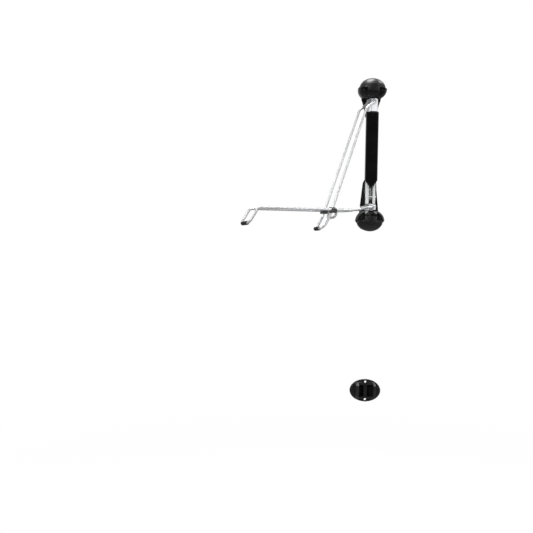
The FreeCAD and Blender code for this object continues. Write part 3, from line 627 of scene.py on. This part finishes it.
def rodMesh(tree, line, eye, trim, swell):
    mesh = evaluateNodes(line, tree, {
        "Rod Radius": armRod["radius"] * mm, "Trim": trim * mm, "Eye Axis": sideways, "Eye": eye,
        "Neck Length": armRod["neckLength"] * mm, "Neck Swell": swell, "Material": materials["zinc_rod"],
    })
    bpy.data.objects.remove(line)
    return mesh


def joinMeshes(meshes, name):
    bm = bmesh.new()
    for mesh in meshes:
        bm.from_mesh(mesh)
    joined = bpy.data.meshes.new(name)
    bm.to_mesh(joined)
    bm.free()
    return joined


def makeArms():
    tree = bentRodTree()
    eye = forgedEye()
    for name, shape, hinge, body in (
        ("upper_arm", upperArm, upperHinge, "upper_arms"), ("lower_arm", lowerArm, lowerHinge, "lower_arms"),
    ):
        line = hairpinLine(hinge, shape["route"], shape["bends"])
        rods = [rodMesh(tree, line, eye, armRod["eyeTrim"], armRod["neckSwell"])]
        if "stay" in shape:
            stay = hairpinLine(lowerHinge, shape["stay"], shape["stayBends"])
            rods.append(rodMesh(tree, stay, None, armRod["stayTrim"], 0.0))
        addPiece(name + "_rod", joinMeshes(rods, name + "_rod"), "zinc_rod", body, [name])
    bpy.data.objects.remove(eye)
    print("arms bent")


makeArms()

# Rubber sleeves on the arms' cross-pieces, with shallow grip grooves
sleeve = {"radius": 8.0, "edge": 1.6, "groove": 0.5, "pitch": 4.5, "plainEnd": 5.0}


def sleevePiece(node, route, hinge, body):
    out, rise, _ = route[-1]
    centre = hinge + (outward * out + up * rise) * mm
    low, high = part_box(node)
    half = ((high.y - low.y) / mm - 2 * sleeve["radius"] * abs(outward.y)) / abs(sideways.y) / 2
    profile = [(-half, armRod["radius"])]
    arc = [
        (sleeve["edge"] * (1 - math.cos(a)), sleeve["edge"] * math.sin(a))
        for a in (0, math.pi / 6, math.pi / 3, math.pi / 2)
    ]
    profile += [(-half + inset, sleeve["radius"] - sleeve["edge"] + rise) for inset, rise in arc]
    place = -half + sleeve["plainEnd"]
    while place < half - sleeve["plainEnd"]:
        for shift, depth in ((-0.9, 0), (-0.5, 0.7), (0, 1), (0.5, 0.7), (0.9, 0)):
            profile.append((place + shift, sleeve["radius"] - depth * sleeve["groove"]))
        place += sleeve["pitch"]
    profile += [(half - inset, sleeve["radius"] - sleeve["edge"] + rise) for inset, rise in reversed(arc)]
    profile.append((half, armRod["radius"]))
    bm = bmesh.new()
    lathe(bm, profile, centre, sideways)
    addPiece(node + "_grip", toMesh(bm, node), "rubber_black", body, [node])


sleevePiece("upper_sleeve", upperArm["route"], upperHinge, "upper_arms")
sleevePiece("lower_sleeve", lowerArm["route"], lowerHinge, "lower_arms")
print("sleeves turned")

# End caps. The dome and its button are drawn again as clean surfaces. The dish is a copy of its node,
# with the outer half drawn in.
cap = {"pocketDepth": 7.0, "plugGap": 0.7, "plugEdge": 1.6, "edge": 0.8, "rings": 26, "steps": 72,
       "lugHalf": 6.0, "lugDrop": 8.0, "lugThick": 3.0, "lugX": 35.0, "screwHead": 3.0,
       "domeInset": 2.0, "dishEdge": 0.5, "lugEdge": 0.5, "plugRings": 14, "plugSteps": 96, "edgeSteps": 4,
       "rimAngle": 0.5, "rimSegments": 3, "lugSteps": 12, "dishInset": (6.0, 4.0),
       "shelf": (0.0, 3.0, 6.0, 9.0), "insetFrom": 0.45, "insetTo": 0.85}


def ballDepth(x, z, halfWidth, radius):
    return radius * math.sqrt(max(0.0, 1 - (x / halfWidth) ** 2 - (z / radius) ** 2))


def capSizes():
    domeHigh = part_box("top_cap_dome")[1]
    plugLow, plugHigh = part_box("top_cap_plug")
    middle = (plugLow.z + plugHigh.z) / 2
    return {
        "axis": swivelPivot.y / mm, "middle": middle / mm,
        "domeHalf": domeHigh.x / mm - cap["domeInset"], "domeRadius": (domeHigh.z - middle) / mm,
        "plugHalf": plugHigh.x / mm, "plugHeight": (plugHigh.z - middle) / mm,
        "plugFront": -plugLow.y / mm,
        "dishRadius": (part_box("top_cap_base")[1].z - middle) / mm,
        "screwSeat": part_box("cap_screws")[0].y / mm + cap["screwHead"],
    }


capSize = capSizes()


def capPoint(end, x, y, z):
    side = 1 if end == "top" else -1
    return Vector((x, y, side * (capSize["middle"] + z))) * mm


def capDome(end):
    size = capSize
    bm = bmesh.new()
    front = size["axis"] - size["domeRadius"]
    seat = front + cap["pocketDepth"]
    grid = []
    for i in range(cap["rings"] + 1):
        share = math.sin(math.pi / 2 * i / cap["rings"])  # rings crowd together where the surface turns away
        row = []
        for j in range(cap["steps"] + 1):
            angle = math.pi * j / cap["steps"]
            x = math.cos(angle) * (size["plugHalf"] * (1 - share) + size["domeHalf"] * share)
            z = math.sin(angle) * (size["plugHeight"] * (1 - share) + size["domeRadius"] * share)
            y = size["axis"] - ballDepth(x, z, size["domeHalf"], size["domeRadius"])
            row.append(bm.verts.new(capPoint(end, x, y, z)))
        grid.append(row)
    floor = [bm.verts.new((v.co.x, seat * mm, v.co.z)) for v in grid[0]]
    for row, following in zip([floor] + grid, grid):
        for j in range(cap["steps"]):
            bm.faces.new((row[j], row[j + 1], following[j + 1], following[j]))
    bm.faces.new(floor)
    bm.faces.new(grid[-1])
    underside = [row[0] for row in [floor] + grid] + [row[-1] for row in reversed([floor] + grid)]
    under = bm.faces.new(underside)
    bm.normal_update()
    rim = [edge for edge in under.edges if edge.calc_face_angle(0) > cap["rimAngle"]]
    rim += [bm.edges.get((grid[0][j], grid[0][j + 1])) for j in range(cap["steps"])]
    roundEdges(bm, list(set(rim)), cap["edge"], cap["rimSegments"])
    for side in (-1, 1):
        addLug(bm, end, side)
    return toMesh(bm, end + "_dome")


def addLug(bm, end, side):
    # Tongue under the dome that its screw holds down
    top = capSize["screwSeat"] + cap["lugThick"]
    outline = [(cap["lugHalf"], 1.0)]
    for i in range(cap["lugSteps"] + 1):
        angle = math.pi * i / cap["lugSteps"]
        outline.append((cap["lugHalf"] * math.cos(angle), -cap["lugDrop"] - cap["lugHalf"] * math.sin(angle)))
    outline.append((-cap["lugHalf"], 1.0))
    rows = []
    for y in (top, top - cap["lugThick"]):
        rows.append([bm.verts.new(capPoint(end, side * cap["lugX"] + x, y, z)) for x, z in outline])
    count = len(outline)
    for j in range(count):
        k = (j + 1) % count
        bm.faces.new((rows[0][j], rows[0][k], rows[1][k], rows[1][j]))
    bm.faces.new(rows[0])
    face = bm.faces.new(rows[1])
    bm.normal_update()
    roundEdges(bm, list(face.edges), cap["lugEdge"])


def capDish(end):
    # The node's shape with its outer half drawn in, so that the lip stands out as a shelf at the split
    bm = bmesh.new()
    bm.from_mesh(softCopy(end + "_cap_base", 0))
    side = 1 if end == "top" else -1
    for rise in cap["shelf"]:
        geometry = bm.verts[:] + bm.edges[:] + bm.faces[:]
        bmesh.ops.bisect_plane(
            bm, geom=geometry, dist=weldGap, plane_co=capPoint(end, 0, 0, rise), plane_no=(0, 0, 1),
        )
    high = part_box(end + "_cap_base")[1].x / mm
    for vert in bm.verts:
        x, z = vert.co.x / mm, side * vert.co.z / mm - capSize["middle"]
        if z < 0:
            continue
        share = math.sqrt((x / high) ** 2 + (z / capSize["dishRadius"]) ** 2)
        pull = min(1, max(0, (share - cap["insetFrom"]) / (cap["insetTo"] - cap["insetFrom"])))
        pull *= min(1, z / cap["shelf"][-1])
        wide, tall = cap["dishInset"]
        vert.co.x *= 1 - pull * wide / high
        vert.co.z -= side * z * pull * tall / capSize["dishRadius"] * mm
    bm.normal_update()
    roundEdges(bm, sharpEdges(bm), cap["dishEdge"])
    return toMesh(bm, end + "_dish")


def capPlug(end):
    size = capSize
    bm = bmesh.new()
    proud = size["plugFront"] + size["axis"] - size["domeRadius"]
    halfWidth, radius = size["domeHalf"] + proud, size["domeRadius"] + proud
    edge = cap["plugEdge"]
    count = cap["plugSteps"]
    shares = [i / cap["plugRings"] for i in range(1, cap["plugRings"] + 1)]
    shares += [1 + i for i in range(1, cap["edgeSteps"] + 1)]
    rows = []
    for share in shares:
        row = []
        for j in range(count):
            angle = 2 * math.pi * j / count
            flat = min(share, 1)
            turn = math.pi / 2 * max(0, share - 1) / cap["edgeSteps"]
            inset = cap["plugGap"] + edge * (1 - math.sin(turn))
            x = math.cos(angle) * (size["plugHalf"] - inset) * flat
            z = math.sin(angle) * (size["plugHeight"] - inset) * flat
            y = size["axis"] - ballDepth(x, z, halfWidth, radius) + edge * (1 - math.cos(turn))
            row.append(bm.verts.new(capPoint(end, x, y, z)))
        rows.append(row)
    seat = size["axis"] - size["domeRadius"] + cap["pocketDepth"]
    rows.append([bm.verts.new((v.co.x, seat * mm, v.co.z)) for v in rows[-1]])
    centre = bm.verts.new(capPoint(end, 0, size["axis"] - radius, 0))
    for j in range(count):
        k = (j + 1) % count
        bm.faces.new((centre, rows[0][j], rows[0][k]))
        for row, following in zip(rows, rows[1:]):
            bm.faces.new((row[j], row[k], following[k], following[j]))
    bm.faces.new(rows[-1])
    return toMesh(bm, end + "_plug")


for end in ("top", "bottom"):
    addPiece(end + "_cap_shell", capDome(end), "cap_black", "rack", [end + "_cap_dome"])
    addPiece(
        end + "_cap_button", capPlug(end), "cap_black", "rack", [end + "_cap_plug"], finish="button_black",
    )
    addPiece(end + "_cap_dish", capDish(end), "cap_black", "rack", [end + "_cap_base"])
print("caps made")

# Cross-recess screws beside each neck, each turned a little differently
screw = {
    "headRadius": 4.4, "headHeight": 2.8, "rimShare": 0.45, "domeRings": 6, "domeTurn": 0.72, "steps": 32,
    "recessHalf": 2.6, "recessWidth": 0.9, "recessDepth": 1.6, "recessTaper": 0.35, "seed": 7,
}


def screwMesh():
    # Screw head that stands along +Y, with its seat at the origin
    radius, height = screw["headRadius"], screw["headHeight"]
    bm = bmesh.new()
    rimShare, steps = screw["rimShare"], screw["steps"]
    rings = [(0.0, radius), (height * rimShare, radius)]
    for i in range(1, screw["domeRings"] + 1):
        angle = math.pi / 2 * i / screw["domeRings"]
        rise = height * (rimShare + (1 - rimShare) * math.sin(angle))
        rings.append((rise, radius * math.cos(angle * screw["domeTurn"])))
    rows = []
    for rise, ring in rings:
        rows.append([
            bm.verts.new(Vector((ring * math.cos(a), rise, ring * math.sin(a))) * mm)
            for a in (2 * math.pi * j / steps for j in range(steps))
        ])
    for row, following in zip(rows, rows[1:]):
        for j in range(steps):
            k = (j + 1) % steps
            bm.faces.new((row[j], row[k], following[k], following[j]))
    bm.faces.new(rows[0])
    bm.faces.new(rows[-1])
    head = toMesh(bm, "screwHead")
    for halfX, halfZ in (
        (screw["recessHalf"], screw["recessWidth"]), (screw["recessWidth"], screw["recessHalf"]),
    ):
        slot = bmesh.new()
        bmesh.ops.create_cube(slot, size=1.0)
        for vert in slot.verts:
            above = vert.co.y > 0
            taper = 1.0 if above else screw["recessTaper"]
            rise = height + 1 if above else height - screw["recessDepth"]
            vert.co = Vector((vert.co.x * 2 * halfX * taper, rise, vert.co.z * 2 * halfZ * taper)) * mm
        head = carve(head, toMesh(slot, "slot"))
    return head


def screwRowTree():
    inputs = [
        ("Geometry", "Geometry", None), ("Screw", "Object", None), ("Seed", "Int", 1),
        ("Material", "Material", None),
    ]
    tree, given, result = newTree("screwRow", "GeometryNodeTree", inputs, [("Geometry", "Geometry")])
    shape = addNode(
        tree, "GeometryNodeObjectInfo", {"transform_space": "ORIGINAL"}, {"Object": given["Screw"]},
    ).outputs["Geometry"]
    turn = addNode(tree, "FunctionNodeRandomValue", {"data_type": "FLOAT"}, {"Seed": given["Seed"]})
    turn.inputs[3].default_value = math.pi
    facing = addNode(tree, "ShaderNodeCombineXYZ", None, {"X": math.pi, "Y": turn.outputs[1]}).outputs[0]
    placed = addNode(
        tree, "GeometryNodeInstanceOnPoints", None,
        {"Points": given["Geometry"], "Instance": shape, "Rotation": facing},
    ).outputs["Instances"]
    real = addNode(tree, "GeometryNodeRealizeInstances", None, {"Geometry": placed}).outputs["Geometry"]
    painted = addNode(
        tree, "GeometryNodeSetMaterial", None, {"Geometry": real, "Material": given["Material"]},
    ).outputs["Geometry"]
    feed(tree, painted, result["Geometry"])
    return tree


def makeScrews():
    places = [
        capPoint(end, side * cap["lugX"], capSize["screwSeat"], -cap["lugDrop"])
        for end in ("top", "bottom") for side in (-1, 1)
    ]
    mesh = bpy.data.meshes.new("screwPlaces")
    mesh.from_pydata(places, [], [])
    points = helperObject("screwPlaces", mesh)
    model = helperObject("screwModel", screwMesh())
    rows = evaluateNodes(
        points, screwRowTree(), {"Screw": model, "Seed": screw["seed"], "Material": materials["screw_black"]},
    )
    bpy.data.objects.remove(points)
    bpy.data.objects.remove(model)
    addPiece("cap_screw_heads", rows, "bolt_steel", "rack", ["cap_screws"], finish="screw_black")
    print("screws placed")


makeScrews()

# Pieces that keep the node's own shape, with eased edges in millimetres
ownFinish = {"spine_channel": "channel_zinc", "channel_cross_bolt": "channel_zinc"}
easedPieces = [
    ("front_cover", "cover_black", "rack", 0.9),
    ("back_housing", "housing_black", "rack", 0.8),
    ("spine_channel", "zinc_sheet", "rack", 0.3),
    ("channel_cross_bolt", "bright_steel", "rack", 0.5),
    ("shaft_guides", "nylon_black", "rack", 0.3),
    ("tail_rest", "tail_black", "rack", 0.7),
    ("pivot_shaft", "bright_steel", "swivel", 0.4),
    ("top_bracket", "zinc_sheet", "swivel", 0.4),
    ("bottom_bracket", "zinc_sheet", "swivel", 0.4),
    ("top_hinge_bolt", "bolt_steel", "swivel", 0.2),
    ("bottom_hinge_bolt", "bolt_steel", "swivel", 0.2),
    ("hinge_nuts", "bolt_steel", "swivel", 0.4),
    ("hinge_washers", "nylon_black", "swivel", 0.2),
    ("link_hook_near", "nylon_black", "upper_arms", 0.6),
    ("link_hook_far", "nylon_black", "upper_arms", 0.6),
]
for node, slot, body, width in easedPieces:
    addPiece(node + "_eased", softCopy(node, width), slot, body, [node], ownFinish.get(node))
print("eased pieces:", len(easedPieces))

# The pieces hidden inside keep their nodes and take a finish.
for node, thing in frame["nodes"].items():
    if not thing.hide_render:
        slot = thing.material_slots[0].material.name.split(".")[0]
        thing.material_slots[0].material = materials[slot]


# Stage: pale floor, white surroundings, soft lamps and the photograph's camera

stage = {"floorBelow": 430.0, "floorHalf": 9000.0, "nearLift": 0.78, "fadeFrom": 300.0, "fadeTo": 2400.0,
         "ambient": 0.55, "mirrorFront": 0.05, "mirrorBack": 0.55, "mirrorFloor": 0.2, "bounce": 0.15}


def makeFloor():
    bm = bmesh.new()
    height = cadBox[0].z - stage["floorBelow"] * mm
    half = stage["floorHalf"] * mm
    corners = ((-1, -1), (1, -1), (1, 1), (-1, 1))
    bm.faces.new([bm.verts.new((x * half, y * half, height)) for x, y in corners])
    mesh = bpy.data.meshes.new("floor")
    bm.to_mesh(mesh)
    bm.free()
    floor = helperObject("floor", mesh)
    material = bpy.data.materials.new("floorPaint")
    material.use_nodes = True
    tree = material.node_tree
    paint = tree.nodes["Principled BSDF"]
    paint.inputs["Base Color"].default_value = (0.9, 0.9, 0.9, 1)
    paint.inputs["Roughness"].default_value = 0.9
    paint.inputs["Specular IOR Level"].default_value = 0.0
    path = addNode(tree, "ShaderNodeLightPath").outputs
    mirrored = maths(tree, "MAXIMUM", path["Is Glossy Ray"], path["Is Transmission Ray"])
    seen = maths(
        tree, "MAXIMUM", path["Is Camera Ray"], maths(tree, "MAXIMUM", mirrored, path["Is Diffuse Ray"]),
    )
    dimmed = maths(tree, "MULTIPLY_ADD", mirrored, stage["mirrorFloor"])
    feed(tree, maths(tree, "MULTIPLY", path["Is Diffuse Ray"], stage["bounce"]), dimmed.node.inputs[2])
    strength = maths(tree, "MAXIMUM", path["Is Camera Ray"], dimmed)
    glow = addNode(tree, "ShaderNodeEmission", None, {"Color": (1, 1, 1, 1), "Strength": strength})
    # The paint fades to plain white away from the object, so no horizon shows.
    where = addNode(tree, "ShaderNodeTexCoord").outputs["Object"]
    away = vectorMaths(tree, "LENGTH", vectorMaths(tree, "MULTIPLY", where, (1, 1, 0)))
    lift = ramp(tree, away, stage["fadeFrom"] * mm, stage["fadeTo"] * mm, stage["nearLift"], 1.0)
    mix = addNode(tree, "ShaderNodeMixShader", None, {0: maths(tree, "MULTIPLY", seen, lift)})
    tree.links.new(paint.outputs[0], mix.inputs[1])
    tree.links.new(glow.outputs[0], mix.inputs[2])
    tree.links.new(mix.outputs[0], tree.nodes["Material Output"].inputs[0])
    mesh.materials.append(material)


def makeWorld():
    world = bpy.data.worlds.new("studio")
    scene.world = world
    world.use_nodes = True
    tree = world.node_tree
    path = addNode(tree, "ShaderNodeLightPath").outputs
    direction = addNode(tree, "ShaderNodeTexCoord").outputs["Generated"]
    depth = addNode(tree, "ShaderNodeSeparateXYZ", None, {0: direction}).outputs["Y"]
    mirrored = ramp(tree, depth, -0.35, 0.45, stage["mirrorFront"], stage["mirrorBack"])
    glossy = maths(tree, "MAXIMUM", path["Is Glossy Ray"], path["Is Transmission Ray"])
    ambient = maths(tree, "MULTIPLY", maths(tree, "SUBTRACT", 1.0, glossy), stage["ambient"])
    strength = maths(tree, "ADD", ambient, maths(tree, "MULTIPLY", glossy, mirrored))
    strength = maths(tree, "MAXIMUM", strength, path["Is Camera Ray"])
    background = tree.nodes["Background"].inputs
    background["Color"].default_value = (1, 1, 1, 1)
    feed(tree, strength, background["Strength"])


# Each lamp: place in metres, size in metres, watts
lamps = {
    "keyBox": {"at": (-2.2, -2.4, 1.0), "size": (1.6, 2.2), "power": 46.0},
    "fillBox": {"at": (2.3, -1.9, 0.4), "size": (1.2, 2.0), "power": 22.0},
    "overheadBox": {"at": (-0.3, 0.0, 2.0), "size": (1.5, 0.8), "power": 46.0},
    "shoulderBox": {"at": (1.3, 0.45, 2.0), "size": (0.5, 0.5), "power": 12.0},
}


def makeLamps():
    target = Vector((0, -0.15, -0.1))
    for name, look in lamps.items():
        data = bpy.data.lights.new(name, "AREA")
        data.shape = "RECTANGLE"
        data.size, data.size_y = look["size"]
        data.energy = look["power"]
        lamp = bpy.data.objects.new(name, data)
        scene.collection.objects.link(lamp)
        lamp.location = look["at"]
        lamp.rotation_mode = "QUATERNION"
        lamp.rotation_quaternion = (target - lamp.location).to_track_quat("-Z", "Y")


# The camera that fits the photograph: focal length in pixels of the 533-pixel frame, place in metres
photoView = {"focal": 808.0, "frame": 533.0, "sensor": 36.0, "at": (-0.422, -3.38, -0.47), "lean": 1.22}


def makeCamera():
    data = bpy.data.cameras.new("photoCamera")
    data.sensor_width = photoView["sensor"]
    data.lens = photoView["focal"] / photoView["frame"] * photoView["sensor"]
    camera = bpy.data.objects.new("photoCamera", data)
    scene.collection.objects.link(camera)
    camera.location = photoView["at"]
    camera.rotation_euler = (math.radians(90), math.radians(-photoView["lean"]), 0)
    scene.camera = camera


makeFloor()
makeWorld()
makeLamps()
makeCamera()
scene.view_settings.view_transform = "Standard"
print("stage set")
